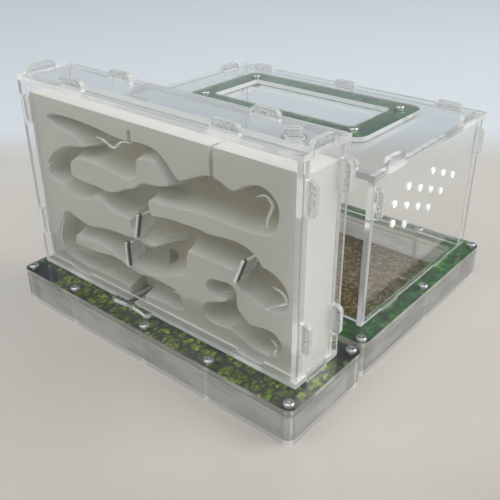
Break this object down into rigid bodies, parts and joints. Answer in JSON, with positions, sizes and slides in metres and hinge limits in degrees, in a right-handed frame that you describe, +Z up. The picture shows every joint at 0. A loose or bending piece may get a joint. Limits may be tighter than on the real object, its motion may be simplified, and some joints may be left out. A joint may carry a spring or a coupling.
{
  "type": "ant habitat",
  "caption": "Free-standing ant habitat: a carved plaster nest in a clear box with sliding gates, joined by a tube to a clear foraging arena with a lift-off lid.",
  "frame": {"origin": "middle of the footprint of both bases together, on the table", "axes": "+X to the right along the front of the nest, +Y from the nest back to the arena, +Z up"},
  "size_m": [0.2, 0.2, 0.1387],
  "materials": {
    "clear_acrylic": "clear, polished sheet",
    "base_acrylic": "clear sheet with sawn edges",
    "gate_acrylic": "clear, polished thin sheet",
    "plug_plastic": "clear, smooth",
    "tube_plastic": "clear, smooth",
    "nest_film": "printed leaf picture, dark green",
    "arena_film": "printed leaf picture, soft green",
    "lid_film": "printed leaf picture, soft green",
    "plaster": "matt, fine pores",
    "sand": "loose fine grains",
    "steel": "plain steel"
  },
  "bodies": {
    "habitat": {"nest_base_plate": "base_acrylic", "nest_base_ring_1": "base_acrylic", "nest_base_ring_2": "base_acrylic", "nest_base_ring_3": "base_acrylic", "nest_base_ring_4": "base_acrylic", "nest_base_ring_5": "base_acrylic", "nest_picture_film": "nest_film", "nest_top_plate": "clear_acrylic", "nest_floor_panel": "clear_acrylic", "nest_front_panel": "clear_acrylic", "nest_rear_panel": "clear_acrylic", "nest_left_panel": "clear_acrylic", "nest_right_panel": "clear_acrylic", "nest_top_panel": "clear_acrylic", "plaster_block": "plaster", "nest_screws": "steel", "connecting_tube": "tube_plastic", "arena_base_plate": "base_acrylic", "arena_base_ring_1": "base_acrylic", "arena_base_ring_2": "base_acrylic", "arena_base_ring_3": "base_acrylic", "arena_base_ring_4": "base_acrylic", "arena_base_ring_5": "base_acrylic", "arena_picture_film": "arena_film", "arena_top_ring": "clear_acrylic", "sand_bed": "sand", "arena_front_wall": "clear_acrylic", "arena_rear_wall": "clear_acrylic", "arena_left_wall": "clear_acrylic", "arena_right_wall": "clear_acrylic", "arena_top_panel": "clear_acrylic", "arena_screws": "steel"},
    "lid": {"lid_window": "clear_acrylic", "lid_picture_film": "lid_film", "lid_frame": "clear_acrylic", "lid_screws": "steel", "lid_nuts": "steel"},
    "gate_1": {"gallery_gate_1": "gate_acrylic"},
    "gate_2": {"gallery_gate_2": "gate_acrylic"},
    "gate_3": {"gallery_gate_3": "gate_acrylic"},
    "feed_slide": {"front_slide": "clear_acrylic"},
    "plug": {"water_plug": "plug_plastic"}
  },
  "joints": [
    {"name": "lid_lift", "type": "slide", "parent": "habitat", "child": "lid", "axis": [0, 0, 1], "range_m": [0, 0.02]},
    {"name": "gate_1_pull", "type": "slide", "parent": "habitat", "child": "gate_1", "axis": [0, -1, 0], "range_m": [0, 0.011]},
    {"name": "gate_2_pull", "type": "slide", "parent": "habitat", "child": "gate_2", "axis": [0, -1, 0], "range_m": [0, 0.011]},
    {"name": "gate_3_pull", "type": "slide", "parent": "habitat", "child": "gate_3", "axis": [0, -1, 0], "range_m": [0, 0.011]},
    {"name": "feed_slide_pull", "type": "slide", "parent": "habitat", "child": "feed_slide", "axis": [0, -1, 0], "range_m": [0, 0.02]},
    {"name": "plug_lift", "type": "slide", "parent": "habitat", "child": "plug", "axis": [0, 0, 1], "range_m": [0, 0.007]}
  ]
}
